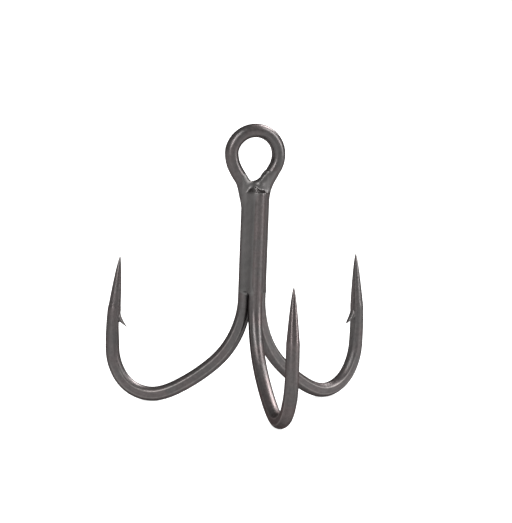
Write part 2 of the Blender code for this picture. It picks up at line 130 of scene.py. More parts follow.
SHANK_AXIS_X = -EYE_SIDE_OFFSET
SHANK_AXIS_Y = -SHANK_CIRCLE * math.sin(math.radians(30.0))
RIGHT_AZIMUTH = math.radians(90.0) - DOUBLE_SPREAD / 2.0
LEFT_AZIMUTH = math.radians(90.0) + DOUBLE_SPREAD / 2.0

# Each hook: direction of its shank wire, direction of its arm, and side
HOOKS = {
    "single": (math.radians(-90.0), math.radians(-90.0), 1.0),
    "right": (math.radians(30.0), RIGHT_AZIMUTH, 1.0),
    "left": (math.radians(150.0), LEFT_AZIMUTH, -1.0),
}
ARM_LENGTH = (
    FLARE_RADIUS * FLARE_TURN
    + LOWER_ARM_LENGTH
    + ENTRY_RADIUS * ENTRY_TURN
    + BEND_RADIUS * BEND_TURN
    + EXIT_RADIUS * EXIT_TURN
    + SPEAR_LENGTH
)

# Braze webs in the grooves: heights are from the shank's top or from the single's cut end
BRAZE_LENGTH = 9.80 * MM
REAR_WEB_RISE = 1.60 * MM
REAR_WEB_DROP = 0.30 * MM  # the rear web reaches this much lower than the two front ones
LEFT_WEB_STOP = 0.12 * MM  # below the cut end
RIGHT_WEB_STOP = 0.15 * MM
WEB_RECESS = 0.03 * MM  # face of a web below the line that touches its two wires
WEB_ROUND = 0.12 * MM  # rounding of a web's edges
WEB_SLANT = 0.15 * MM  # how much lower one side of a web's lower end is than its middle

# Braze throat: the saddle that closes the bottom of the eye's hole
THROAT_HEIGHT = 3.20 * MM
THROAT_CREST_DROP = 0.08 * MM  # the dish's lowest place is this far below the throat's height
THROAT_ROOT = -0.50 * MM
THROAT_HALF_DEPTH = 0.56 * MM
THROAT_HALF_WIDTH = 1.15 * MM
THROAT_DISH_RADIUS = 1.10 * MM
THROAT_DISH_LIMIT = 0.97  # share of the dish's radius beyond which it rises no more
THROAT_EDGE = 0.35 * MM  # rounding of the throat's upper edge
THROAT_AXIS_X = SHANK_AXIS_X + EYE_SIDE_OFFSET * 0.45 - 0.22 * MM

# Softness: how gently the braze runs into what is beside it
BRAZE_MELT = 0.32 * MM
FLOW_MELT = 0.95 * MM
END_EXTRA_MELT = 0.30 * MM  # added towards the eye and towards the seam's lower end
LEG_EXTRA_MELT = 1.20 * MM  # added between the eye's legs, so that their groove fills
SOFTER_FROM = 1.20 * MM  # height above the shank's top where the upper softness starts
SOFTER_OVER = 1.40 * MM  # and the span over which it grows to its full measure
TAIL_OVER = 0.90 * MM  # the same span at the seam's lower end

# Extent and fineness of the seam's surface
BRAZE_INSET = 0.007 * MM  # the seam dips this far under the bare wire beside it
WOBBLE = 0.010 * MM
FINE_WOBBLE = 0.006 * MM
SEAM_TOP = THROAT_HEIGHT + 1.40 * MM  # above the shank's top
SEAM_TAIL = 0.45 * MM  # below the webs' lower end
SEAM_REACH = 3.20 * MM  # to either side of the shank's axis
SEAM_FRONT = 2.20 * MM  # ahead of the shank's axis
SEAM_REAR = 1.00 * MM  # behind the eye's plane
SIDE_MARGIN = 0.20 * MM
LOWER_MARGIN = 0.25 * MM
BRAZE_CELL = 0.06 * MM
LEG_STEP = 0.06 * MM

# Runs of braze around the cut end: start, end and radius in mm, both ends measured from the cut
# end's height, the start from the shank's axis and the end from the eye's plane
THROAT_FLOWS = (
    ((-0.46, -0.98, -0.22), (-0.60, -0.42, 0.40), 0.34),
    ((-0.52, -0.58, -0.22), (-0.60, -0.16, 0.46), 0.44),
    ((0.15, 0.06, -0.30), (0.12, -0.06, 0.55), 0.42),
    ((0.68, -0.02, -0.38), (0.62, -0.06, 0.70), 0.36),
    ((0.41, 0.00, 0.80), (1.93, 0.00, 2.65), 0.50),
)

# Looks
EDGE_TINT = (0.36, 0.34, 0.34, 1.0)  # the plating reflects this much at a glancing angle
# Bare nickel from worn plating, also a painted highlight: the colour the flats' edges are lightened towards
BARE_NICKEL_AND_HIGHLIGHT = (0.30, 0.28, 0.27, 1.0)
DOUBLE_WARM = (0.0665, 0.0586, 0.0584, 1.0)
DOUBLE_COOL = (0.0602, 0.0572, 0.0570, 1.0)
# Painted light: the single wire's plating is a lighter copy of the double wire's, standing in for the light
# on the front of the shank
SINGLE_LIT_WARM = (0.0735, 0.0625, 0.0620, 1.0)
SINGLE_LIT_COOL = (0.0650, 0.0612, 0.0608, 1.0)
BRAZE_DARK = (0.0765, 0.0738, 0.0728, 1.0)
BRAZE_LIGHT = (0.0800, 0.0758, 0.0752, 1.0)
# Painted shade in the braze's fine pores
PORE_SHADE = (0.03, 0.03, 0.03, 1.0)
PLATING_ROUGHNESS = 0.34
# How strongly wear and a painted highlight lighten the flats' edges
EDGE_WEAR_AND_HIGHLIGHT = 0.30
SATIN_FROM = 3.0  # along the arm from the shank's lower end, in mm
SATIN_TO = 9.0
FLOOR_GLOW = 0.84
FLOOR_HALF_SIZE = 3.0
FLOOR_DROP = 0.02 * MM
WORLD_LEVEL = 0.80

# Soft boxes: name, azimuth and elevation in degrees, width and height in metres, watts
LIGHT_DISTANCE = 0.5
SOFT_BOXES = (
    ("key_strip", -26.0, 30.0, 0.11, 0.45, 2.6),
    ("side_strip", 76.0, 26.0, 0.12, 0.50, 3.2),
    ("rim_box", 138.0, 46.0, 0.22, 0.22, 6.0),
)

# Camera
CAMERA_AZIMUTH = math.radians(-16.65)
CAMERA_ELEVATION = math.radians(9.29)
CAMERA_ROLL = math.radians(2.15)
CAMERA_DISTANCE = 388.85 * MM
CAMERA_LENS = 226.12
CAMERA_DROP = 7.977 * MM  # below the shank's head, along the camera's own upright
CAMERA_SIDE = 0.102 * MM
SHANK_HEAD = Vector((0.271, -0.503, -4.602)) * MM


def smooth(t):
    """0 to 1 with flat ends."""
    t = min(1.0, max(0.0, t))
    return t * t * (3.0 - 2.0 * t)


def shank_position(azimuth):
    """Centre of the shank wire that stands at this direction around the shank."""
    x = SHANK_AXIS_X + SHANK_CIRCLE * math.cos(azimuth)
    y = SHANK_AXIS_Y + SHANK_CIRCLE * math.sin(azimuth)
    return x, y


def quarter_angles():
    """Angles from the middle of a flat to the middle of a round side, closest at the flat's edge."""
    near = [FLAT_CORNER * share for share in (0.0, 0.36, 0.68, 0.84, 0.94, 1.03, 1.13, 1.27)]
    count = 8
    first = FLAT_CORNER * 1.48
    return near + [first + (math.pi / 2.0 - first) * i / count for i in range(count)]


def ring_angles():
    """All the way round, from the first flat's middle."""
    quarter = quarter_angles()
    half = quarter + [math.pi / 2.0] + [math.pi - a for a in quarter[:0:-1]]
    return half + [math.pi + a for a in half]


ANGLES = ring_angles()


def section(width, thick, facet):
    """Outline of the wire: a circle pressed by two flats whose edges stay softly rounded."""
    points = []
    soft = FLAT_EDGE_SOFTNESS
    for angle in ANGLES:
        u = width * math.sin(angle)
        v = width * math.cos(angle)
        over = (abs(v) - thick) / soft
        if over > -30.0:
            v = math.copysign(abs(v) - soft * math.log1p(math.exp(min(30.0, over))), v)
            if over > 30.0:
                v = math.copysign(thick, v)
        if facet > 0.0:
            grow = 1.0 - facet * 0.5 * (1.0 - math.cos(4.0 * (angle - math.pi / 4.0)))
            u *= grow
            v *= grow
        points.append((u, v))
    return points


def follow(rho, z, heading, length, turn, steps):
    """Points along one arc, each as reach, height, heading and distance from the arc's start."""
    points = []
    for i in range(1, steps + 1):
        part = i / steps
        if abs(turn) < 1e-9:
            along = length * part
            points.append(
                (rho + along * math.sin(heading), z - along * math.cos(heading), heading, along)
            )
            continue
        radius = length / turn
        end = heading + turn * part
        step_rho = radius * (math.cos(heading) - math.cos(end))
        step_z = radius * (math.sin(heading) - math.sin(end))
        points.append((rho + step_rho, z + step_z, end, length * part))
    return points


def arm_centreline():
    """Centreline of an arm from the shank's lower end to the start of the ground point."""
    points = [(0.0, BEND_START_Z, 0.0, 0.0)]
    joints = [0.0]
    done = 0.0
    segments = (
        (FLARE_RADIUS * FLARE_TURN, FLARE_TURN),
        (LOWER_ARM_LENGTH, LOWER_ARM_TURN),
        (ENTRY_RADIUS * ENTRY_TURN, ENTRY_TURN),
        (BEND_RADIUS * BEND_TURN, BEND_TURN),
        (EXIT_RADIUS * EXIT_TURN, EXIT_TURN),
        (SPEAR_LENGTH, SPEAR_TURN),
    )
    for length, turn in segments:
        rho, z, heading, _ = points[-1]
        for r, h, a, s in follow(rho, z, heading, length, turn, math.ceil(length / RING_STEP)):
            points.append((r, h, a, done + s))
        done += length
        joints.append(done)
    return points, joints


def arm_halves(s, joints):
    """Half width, half thickness and how far the forging shows, at a distance along the arm."""
    forged = smooth(s / (joints[1] * 0.45))
    if s <= joints[4]:
        width = WIRE_RADIUS + (FORGED_WIDTH / 2.0 - WIRE_RADIUS) * forged
        thick = WIRE_RADIUS + (FORGED_THICKNESS / 2.0 - WIRE_RADIUS) * forged
        return width, thick, forged
    back = smooth((s - joints[4]) / (joints[5] - joints[4]))
    width_back = smooth((s - joints[4]) / (joints[6] - joints[4]))
    width = FORGED_WIDTH / 2.0 + (POINT_WIRE_DIAMETER - FORGED_WIDTH) / 2.0 * width_back
    thick = FORGED_THICKNESS / 2.0 + (POINT_WIRE_DIAMETER - FORGED_THICKNESS) / 2.0 * back
    return width, thick, 1.0 - back


def point_parts():
    """Shares of the ground point's length for its rings, closer together towards the tip."""
    parts = [i / 18.0 * 0.86 for i in range(1, 19)]
    return parts + [0.90, 0.93, 0.955, 0.975, 0.988, 0.996, 1.0]


def arm_stations(hook):
    """Stations of one arm: centre, inner side, across, halves, facet, edge wear with painted highlight, and
    distance.
    """
    seat, azimuth, mirror = HOOKS[hook]
    x0, y0 = shank_position(seat)
    outward = Vector((math.cos(azimuth), math.sin(azimuth), 0.0))
    across = Vector((-math.sin(azimuth), math.cos(azimuth), 0.0)) * mirror
    base = Vector((x0, y0, 0.0))
    points, joints = arm_centreline()
    stations = []
    for rho, z, heading, s in points:
        width, thick, forged = arm_halves(s, joints)
        inner = outward * math.cos(heading) + Vector((0.0, 0.0, math.sin(heading)))
        centre = base + outward * rho + Vector((0.0, 0.0, z))
        stations.append((centre, inner, across, width, thick, 0.0, forged, s))
    heading, end = points[-1][2:]
    ahead = outward * math.sin(heading) - Vector((0.0, 0.0, math.cos(heading)))
    inner = stations[-1][1]
    start = stations[-1][0]
    full = POINT_WIRE_DIAMETER / 2.0
    for part in point_parts():
        half = full * (1.0 - part) ** POINT_POWER
        facet = POINT_FACET * smooth(part / 0.10)
        centre = start + ahead * POINT_LENGTH * part
        stations.append((centre, inner, across, half, half, facet, 0.0, end + POINT_LENGTH * part))
    return stations


def barb_frame(hook):
    """Where the barb's root meets the wire's inner face: point, towards the tip, inwards, across."""
    stations = arm_stations(hook)
    centre, inner, across, width = stations[-1 - len(point_parts())][:4]
    tip = stations[-1][0]
    ahead = tip - centre
    ahead = (ahead - inner * ahead.dot(inner)).normalized()
    bow = BARB_SETBACK * BARB_SETBACK * SPEAR_TURN / (2.0 * SPEAR_LENGTH)
    return centre + inner * (width + bow) - ahead * BARB_SETBACK, ahead, inner, across


def eye_offset(height):
    """Sideways shift of an eye leg at a height above the shank's top."""
    rise = height - EYE_LEG_STRAIGHT
    if rise <= 0.0:
        return 0.0
    lean = math.asin(min(math.sin(EYE_LEG_SPREAD), rise / EYE_LEG_BEND_RADIUS))
    shift = EYE_LEG_BEND_RADIUS * (1.0 - math.cos(lean))
    extra = rise - EYE_LEG_BEND_RADIUS * math.sin(lean)
    return shift + extra * math.tan(lean)


def eye_slide(height):
    """How far the eye has moved to its side at a height above the shank's top."""
    return EYE_SIDE_OFFSET * smooth(height / -SHANK_TOP_Z)


def swell(part):
    """0 at both ends of the range 0 to 1 and 1 in its middle."""
    if part <= 0.0 or part >= 1.0:
        return 0.0
    return (4.0 * part * (1.0 - part)) ** 1.6


def left_leg_bow(height):
    """How much farther out the left leg stands than the right one, at a height above the shank."""
    tuck_span = LEFT_LEG_TUCK_END - LEFT_LEG_TUCK_START
    out = LEFT_LEG_BOW * swell(height / LEFT_LEG_BOW_HEIGHT)
    return out - LEFT_LEG_TUCK * swell((height - LEFT_LEG_TUCK_START) / tuck_span)


def eye_centreline():
    """The eye from the right shank wire up and over to the crown's middle, as x, z and heading."""
    half = [(SHANK_HALF_SPACING, SHANK_TOP_Z, math.pi)]
    pieces = (
        (EYE_LEG_STRAIGHT, 0.0, 3),
        (EYE_LEG_BEND_RADIUS * EYE_LEG_SPREAD, -EYE_LEG_SPREAD, 14),
        (EYE_LEG_STRAIGHT_2, 0.0, max(1, math.ceil(EYE_LEG_STRAIGHT_2 / RING_STEP))),
        (CROWN_RADIUS * (math.pi / 2 + EYE_LEG_SPREAD), math.pi / 2 + EYE_LEG_SPREAD, 36),
    )
    for length, turn, steps in pieces:
        x, z, heading = half[-1]
        for r, h, a, _ in follow(x, z, heading, length, turn, steps):
            half.append((r, h, a))
    return half


def eye_stations():
    """Stations of the eye, from the left shank wire over the crown to the right one."""
    half = eye_centreline()
    sides = []
    for side in (1.0, -1.0):
        stations = []
        for x, z, heading in half:
            outer = Vector((-side * math.cos(heading), 0.0, -math.sin(heading)))
            reach = x + (left_leg_bow(z - SHANK_TOP_Z) if side < 0.0 else 0.0)
            centre = Vector((SHANK_AXIS_X + side * reach + eye_slide(z - SHANK_TOP_Z), 0.0, z))
            distance = -SHANK_LENGTH - (z - SHANK_TOP_Z) * 1.2
            across = Vector((0.0, 1.0, 0.0))
            stations.append((centre, outer, across, WIRE_RADIUS, WIRE_RADIUS, 0.0, 0.0, distance))
        sides.append(stations)
    return sides[1][:-1] + sides[0][::-1]


def shank_stations(hook, start_azimuth):
    """Rings between the eye's leg and the arm, turning from the eye's plane to the arm's."""
    seat, end_azimuth, mirror = HOOKS[hook]
    x, y = shank_position(seat)
    steps = math.ceil(SHANK_LENGTH / RING_STEP)
    stations = []
    for i in range(1, steps):
        part = i / steps
        azimuth = start_azimuth + (end_azimuth - start_azimuth) * smooth(part)
        outward = Vector((math.cos(azimuth), math.sin(azimuth), 0.0))
        across = Vector((-math.sin(azimuth), math.cos(azimuth), 0.0)) * mirror
        centre = Vector((x, y, SHANK_TOP_Z - SHANK_LENGTH * part))
        distance = -SHANK_LENGTH * (1.0 - part)
        stations.append((centre, outward, across, WIRE_RADIUS, WIRE_RADIUS, 0.0, 0.0, distance))
    return stations


def corner_wear_and_highlight(angle):
    """1 along the edges of the forged flats, 0 elsewhere: where wear and a painted highlight lighten the
    wire.
    """
    folded = abs((angle + math.pi / 2.0) % math.pi - math.pi / 2.0)
    return max(0.0, 1.0 - abs(folded - FLAT_CORNER) / math.radians(9.0))


def wire_mesh(name, stations, start_apex, end_apex):
    """Skins the stations as a closed wire, with lengthwise UVs and a map of edge wear and painted highlight
    at the flats' edges.
    """
    bm = bmesh.new()
    count = len(ANGLES)
    grain = bm.loops.layers.uv.new("Grain")
    wear_and_highlight_map = bm.loops.layers.uv.new("Wear")
    rings = []
    for centre, inner, across, width, thick, facet, _, _ in stations:
        outline = section(width, thick, facet)
        rings.append([bm.verts.new(centre + inner * u + across * v) for u, v in outline])

    def add(corners):
        face = bm.faces.new([vert for vert, _, _ in corners])
        face.smooth = True
        for loop, (_, i, station) in zip(face.loops, corners):
            angle = ANGLES[i % count] if i < count else 2.0 * math.pi
            loop[grain].uv = (angle * WIRE_RADIUS / MM, stations[station][7] / MM)
            loop[wear_and_highlight_map].uv = (corner_wear_and_highlight(angle) * stations[station][6], 0.0)

    for k in range(len(rings) - 1):
        for i in range(count):
            j = (i + 1) % count
            add(
                (
                    (rings[k][i], i, k),
                    (rings[k][j], i + 1, k),
                    (rings[k + 1][j], i + 1, k + 1),
                    (rings[k + 1][i], i, k + 1),
                )
            )
    for station, apex in ((0, start_apex), (len(rings) - 1, end_apex)):
        top = bm.verts.new(apex)
        ring = rings[station]
        for i in range(count):
            add(((ring[i], i, station), (ring[(i + 1) % count], i + 1, station), (top, i, station)))
    return finish_mesh(name, bm)


def finish_mesh(name, bm):
    """Turns the faces outwards and links the object."""
    bmesh.ops.recalc_face_normals(bm, faces=bm.faces)
    if bm.calc_volume(signed=True) < 0.0:
        bmesh.ops.reverse_faces(bm, faces=bm.faces)
    mesh = bpy.data.meshes.new(name)
    bm.to_mesh(mesh)
    bm.free()
    obj = bpy.data.objects.new(name, mesh)
    bpy.context.scene.collection.objects.link(obj)
    return obj


def simple_loft(name, rings, apex):
    """Closed loft of a cutter or sliver, with the same UV maps as the wire."""
    bm = bmesh.new()
    grain = bm.loops.layers.uv.new("Grain")
    wear_and_highlight_map = bm.loops.layers.uv.new("Wear")
    made = [[bm.verts.new(p) for p in ring] for ring in rings]
    count = len(made[0])
    for first, second in zip(made, made[1:]):
        for i in range(count):
            j = (i + 1) % count
            bm.faces.new((first[i], first[j], second[j], second[i]))
    bm.faces.new(made[0])
    if apex is None:
        bm.faces.new(made[-1])
    else:
        top = bm.verts.new(apex)
        for i in range(count):
            bm.faces.new((made[-1][i], made[-1][(i + 1) % count], top))
    for face in bm.faces:
        face.smooth = True
        for loop in face.loops:
            loop[grain].uv = (loop.vert.co.z / MM, (loop.vert.co.x + loop.vert.co.y) / MM)
            # a little of the edge wear and painted highlight on every face
            loop[wear_and_highlight_map].uv = (0.15, 0.0)
    return finish_mesh(name, bm)


def barb_solid(hook):
    """The raised sliver, a thin curved leaf that ends in a point, its root buried in the wire."""
    origin, ahead, inner, across = barb_frame(hook)
    depth = BARB_SCOOP_DEPTH / BARB_HEIGHT
    upper = [(0.40, -2.2 * depth), (0.05, 0.00), (-0.15, 0.09), (-0.36, 0.25)]
    upper += [(-0.60, 0.50), (-0.80, 0.745), (-0.93, 0.915), (-1.0, 1.0)]
    lower = [(-0.14, -3.6 * depth), (-0.42, -2.0 * depth), (-0.56, -0.55 * depth), (-0.655, 0.14)]
    lower += [(-0.77, 0.42), (-0.87, 0.68), (-0.955, 0.89), (-1.0, 1.0)]
    wide = (0.90, 1.0, 0.98, 0.90, 0.72, 0.48, 0.22, 0.0)
    rings = []
    for (top_t, top_n), (low_t, low_n), share in list(zip(upper, lower, wide))[:-1]:
        half = BARB_WIDTH * share / 2.0
        top = origin + ahead * top_t * BARB_LENGTH + inner * top_n * BARB_HEIGHT
        low = origin + ahead * low_t * BARB_LENGTH + inner * low_n * BARB_HEIGHT
        ring = []
        for i in range(9):
            angle = math.pi * i / 8.0
            crown = math.sin(angle) ** 0.8
            ring.append(low.lerp(top, 0.12 + 0.88 * crown) + across * half * -math.cos(angle))
        ring.append(low + across * half * 0.6)
        ring.append(low - across * half * 0.6)
        rings.append(ring)
    apex = origin - ahead * BARB_LENGTH + inner * BARB_HEIGHT
    return simple_loft("barb_" + hook, rings, apex)


def scoop_cutter(hook):
    """The shallow hollow left where the sliver was raised."""
    origin, ahead, inner, across = barb_frame(hook)
    root = -0.60 * BARB_LENGTH
    slope = -0.52
    tall = 1.6 * BARB_HEIGHT
    far = root - BARB_SCOOP_LENGTH
    curve = SPEAR_TURN / (2.0 * SPEAR_LENGTH)
    bow = ((BARB_SETBACK - far) ** 2 - BARB_SETBACK**2) * curve
    floor_line = []
    for i in range(9):
        part = i / 8.0
        low = -BARB_SCOOP_DEPTH + (bow + 0.03 * MM + BARB_SCOOP_DEPTH) * part**1.5
        floor_line.append((root + (far - root) * part, low))
    outline = floor_line + [(far, tall), (root + slope * (tall + BARB_SCOOP_DEPTH), tall)]
    rings = []
    for side in (-1.0, 1.0):
        shift = across * side * POINT_WIRE_DIAMETER
        rings.append([origin + ahead * t + inner * n + shift for t, n in outline])
    return simple_loft("scoop_" + hook, rings, None)


def raise_barbs(obj, hooks):
    """Cuts each scoop, adds each sliver and keeps the result as the object's own mesh."""
    helpers = []
    for hook in hooks:
        for operation, helper in (("DIFFERENCE", scoop_cutter(hook)), ("UNION", barb_solid(hook))):
            modifier = obj.modifiers.new(helper.name, "BOOLEAN")
            modifier.operation = operation
            modifier.solver = "EXACT"
            modifier.object = helper
            helpers.append(helper)
    graph = bpy.context.evaluated_depsgraph_get()
    mesh = bpy.data.meshes.new_from_object(obj.evaluated_get(graph))
    mesh.name = obj.name
    obj.modifiers.clear()
    obj.data = mesh
    for helper in helpers:
        bpy.data.objects.remove(helper, do_unlink=True)
    for polygon in mesh.polygons:
        polygon.use_smooth = True
    mesh.set_sharp_from_angle(angle=math.radians(38.0))


def double_hook():
    """One wire: left hook, eye and right hook."""
    left_arm = arm_stations("left")
    right_arm = arm_stations("right")
    stations = left_arm[:-1][::-1] + shank_stations("left", math.pi)[::-1]
    stations += eye_stations()
    stations += shank_stations("right", 0.0) + right_arm[:-1]
    obj = wire_mesh("double_hook", stations, left_arm[-1][0], right_arm[-1][0])
    raise_barbs(obj, ("left", "right"))
    return obj


def single_hook():
    """The third hook, its shank cut off square with a slightly rolled edge."""
    x, y = shank_position(HOOKS["single"][0])
    arm = arm_stations("single")
    inner, across = arm[0][1], arm[0][2]
    top_z = SHANK_TOP_Z + SINGLE_TOP_HEIGHT
    edge = 0.10 * WIRE_DIAMETER
    stations = []
    for share in (0.15, 0.35, 0.55, 0.72):
        half = (WIRE_RADIUS - edge) * share / 0.72
        z = top_z - 0.03 * MM * share
        stations.append((Vector((x, y, z)), inner, across, half, half, 0.0, 0.0, -SHANK_LENGTH))
    for i in range(1, 7):
        angle = math.pi / 2.0 * i / 6.0
        half = WIRE_RADIUS - edge + edge * math.sin(angle)
        z = top_z - 0.022 * MM - edge * (1.0 - math.cos(angle))
        stations.append((Vector((x, y, z)), inner, across, half, half, 0.0, 0.0, -SHANK_LENGTH))
    low = stations[-1][0].z
    steps = math.ceil((low - BEND_START_Z) / RING_STEP)
    for i in range(1, steps):
        z = low + (BEND_START_Z - low) * i / steps
        centre = Vector((x, y, z))
        half = WIRE_RADIUS
        stations.append((centre, inner, across, half, half, 0.0, 0.0, BEND_START_Z - z))
    stations += arm[:-1]
    obj = wire_mesh("single_hook", stations, Vector((x, y, top_z)), arm[-1][0])
    raise_barbs(obj, ("single",))
    return obj


def blend_union(a, b, melt):
    """Union of two distance fields that run softly into each other."""
    h = np.maximum(melt - np.abs(a - b), 0.0) / melt
    return np.minimum(a, b) - h * h * h * melt / 6.0


def capsule_field(points, start, end, radius):
    """Distance to a round-ended bar."""
    a = np.array(start)
    run = np.array(end) - a
    part = np.clip((points - a) @ run / (run @ run), 0.0, 1.0)
    return np.linalg.norm(points - a - part[:, None] * run, axis=1) - radius


def box_field(points, middle, along, half_long, half_out, low_z, high_z, round_edge):
    """Distance to an upright slab that runs between two wires, its lower end cut on a slant."""
    away = np.array([-along[1], along[0]])
    flat = points[:, :2] - middle
    a = np.abs(flat @ along) - half_long + round_edge
    b = np.abs(flat @ away) - half_out + round_edge
    slant = low_z - WEB_SLANT * (flat @ along) / half_long
    c = np.maximum(points[:, 2] - high_z, slant - points[:, 2]) + round_edge
    stack = np.stack([a, b, c], axis=1)
    outside = np.linalg.norm(np.maximum(stack, 0.0), axis=1)
    return outside + np.minimum(stack.max(axis=1), 0.0) - round_edge


def leg_line(side):
    """Centreline points of one shank wire and its eye leg, finely spaced."""
    points = []
    x0, y0 = shank_position(HOOKS["right" if side > 0 else "left"][0])
    for i in range(math.ceil((SHANK_LENGTH + SEAM_TOP + 2.0 * MM) / LEG_STEP)):
        z = SHANK_TOP_Z - SHANK_LENGTH + LEG_STEP * i
        height = z - SHANK_TOP_Z
        shift = eye_offset(height)
        shift += left_leg_bow(height) if side < 0.0 else 0.0
        slide = eye_slide(height) if height > 0.0 else 0.0
        points.append((x0 + side * shift + slide, y0, z))
    return np.array(points)


LEGS = {1.0: leg_line(1.0), -1.0: leg_line(-1.0)}


def leg_field(points, side):
    """Distance to one shank wire and its eye leg."""
    line = LEGS[side]
    place = (points[:, 2] - line[0, 2]) / LEG_STEP
    best = np.full(len(points), 1.0)
    base = np.clip(np.round(place).astype(int), 0, len(line) - 1)
    for reach in range(-8, 9):
        index = np.clip(base + reach, 0, len(line) - 1)
        best = np.minimum(best, np.linalg.norm(points - line[index], axis=1))
    return best - WIRE_RADIUS


def web_field(points, cut_z, low):
    """Distance to the three webs of braze in the grooves between the wires."""
    centres = {name: np.array(shank_position(HOOKS[name][0])) for name in HOOKS}
    webs = (
        ("left", "single", cut_z - LEFT_WEB_STOP, low),
        ("single", "right", cut_z - RIGHT_WEB_STOP, low),
        ("right", "left", SHANK_TOP_Z + REAR_WEB_RISE, low - REAR_WEB_DROP),
    )
    level = WIRE_RADIUS - WEB_RECESS
    fields = []
    for first, second, high, bottom in webs:
        a, b = centres[first], centres[second]
        half = np.linalg.norm(b - a) / 2.0
        along = (b - a) / (2.0 * half)
        fields.append(box_field(points, (a + b) / 2.0, along, half, level, bottom, high, WEB_ROUND))
    return np.minimum.reduce(fields)


def throat_field(points, height):
    """Distance to the dished saddle of braze between the eye's legs."""
    x = np.abs(points[:, 0] - THROAT_AXIS_X)
    near = np.minimum(x, THROAT_DISH_RADIUS * THROAT_DISH_LIMIT)
    dish = THROAT_DISH_RADIUS - np.sqrt(THROAT_DISH_RADIUS**2 - near**2)
    crest = THROAT_HEIGHT - THROAT_CREST_DROP + dish
    depth = THROAT_HALF_DEPTH - np.abs(points[:, 1])
    throat = -blend_union(depth, crest - height, THROAT_EDGE)
    throat = np.maximum(throat, x - THROAT_HALF_WIDTH)
    return np.maximum(throat, THROAT_ROOT - height)


def braze_field(points):
    """Distance to the braze and the wires it holds, all run together."""
    height = points[:, 2] - SHANK_TOP_Z
    low = SHANK_TOP_Z - BRAZE_LENGTH
    cut_z = SHANK_TOP_Z + SINGLE_TOP_HEIGHT
    body = blend_union(web_field(points, cut_z, low), throat_field(points, height), BRAZE_MELT)
    for start, end, radius in THROAT_FLOWS:
        start = Vector((SHANK_AXIS_X, SHANK_AXIS_Y, cut_z)) + Vector(start) * MM
        end = Vector((SHANK_AXIS_X, 0.0, cut_z)) + Vector(end) * MM
        body = blend_union(body, capsule_field(points, start, end, radius * MM), FLOW_MELT)
    lift = np.clip((height - SOFTER_FROM) / SOFTER_OVER, 0.0, 1.0)
    lift = lift * lift * (3.0 - 2.0 * lift)
    tail = np.clip((low + TAIL_OVER - points[:, 2]) / TAIL_OVER, 0.0, 1.0)
    legs = blend_union(
        leg_field(points, -1.0), leg_field(points, 1.0), BRAZE_MELT + LEG_EXTRA_MELT * lift
    )
    single_x, single_y = shank_position(HOOKS["single"][0])
    single = np.hypot(points[:, 0] - single_x, points[:, 1] - single_y) - WIRE_RADIUS
    wires = np.minimum(legs, np.maximum(single, points[:, 2] - cut_z))
    wobble = WOBBLE * np.sin(points[:, 2] / MM * 2.3 + points[:, 0] / MM * 1.7)
    wobble += FINE_WOBBLE * np.sin(points[:, 2] / MM * 5.1 + points[:, 1] / MM * 4.0 + 1.0)
    field = blend_union(body + wobble, wires, BRAZE_MELT + END_EXTRA_MELT * (lift + tail))
    ends = np.maximum(low - SEAM_TAIL - points[:, 2], height - SEAM_TOP)
    ends = np.maximum(ends, np.abs(points[:, 0] - SHANK_AXIS_X) - SEAM_REACH)
    return np.maximum(field + BRAZE_INSET, ends)


def surface_net(field, low, high, cell):
    """Quads of the field's zero surface: one vertex in each cell that the surface crosses."""
    counts = [int(math.ceil((b - a) / cell)) + 1 for a, b in zip(low, high)]
    axes = [a + cell * np.arange(n) for a, n in zip(low, counts)]
    grid = np.stack(np.meshgrid(*axes, indexing="ij"), axis=-1).reshape(-1, 3)
    values = np.concatenate([field(part) for part in np.array_split(grid, 12)]).reshape(counts)
    inside = values < 0.0
    cells = [n - 1 for n in counts]
    total = np.zeros(cells + [3])
    hits = np.zeros(cells)
    corners = [(i, j, k) for i in (0, 1) for j in (0, 1) for k in (0, 1)]
    for a in corners:
        for b in corners:
            if sum(b) - sum(a) != 1 or sum(abs(p - q) for p, q in zip(a, b)) != 1:
                continue
            va = values[a[0] : a[0] + cells[0], a[1] : a[1] + cells[1], a[2] : a[2] + cells[2]]
            vb = values[b[0] : b[0] + cells[0], b[1] : b[1] + cells[1], b[2] : b[2] + cells[2]]
            cross = (va < 0.0) != (vb < 0.0)
            part = np.where(cross, va / np.where(cross, va - vb, 1.0), 0.0)
            for d in range(3):
                total[..., d] += np.where(cross, a[d] + (b[d] - a[d]) * part, 0.0)
            hits += cross
    used = hits > 0
    number = -np.ones(cells, int)
    number[used] = np.arange(used.sum())
    where = np.argwhere(used)
    verts = np.array(low) + cell * (where + total[used] / hits[used][:, None])
    faces = []
    for d in range(3):
        p, q = [e for e in range(3) if e != d]
        first = inside[tuple(slice(0, counts[e] - 1) if e == d else slice(None) for e in range(3))]
        second = inside[tuple(slice(1, None) if e == d else slice(None) for e in range(3))]
        for index in np.argwhere(first != second):
            quad = []
            for dp, dq in ((1, 1), (0, 1), (0, 0), (1, 0)):
                c = index.copy()
                c[p] -= dp
                c[q] -= dq
                quad.append(number[tuple(c)])
            flip = bool(first[tuple(index)]) != (d == 1)
            faces.append(quad if flip else quad[::-1])
    return verts, faces


def settle(field, verts, steps):
    """Moves the vertices onto the zero surface along its slope."""
    tiny = 0.004 * MM
    for _ in range(steps):
        value = field(verts)
        slope = np.zeros_like(verts)
        for d in range(3):
            shift = np.zeros(3)
            shift[d] = tiny
            slope[:, d] = (field(verts + shift) - field(verts - shift)) / (2.0 * tiny)
        size = np.maximum((slope**2).sum(axis=1), 0.3)
        move = (value / size)[:, None] * slope
        verts = verts - np.clip(move, -0.03 * MM, 0.03 * MM)
    return verts


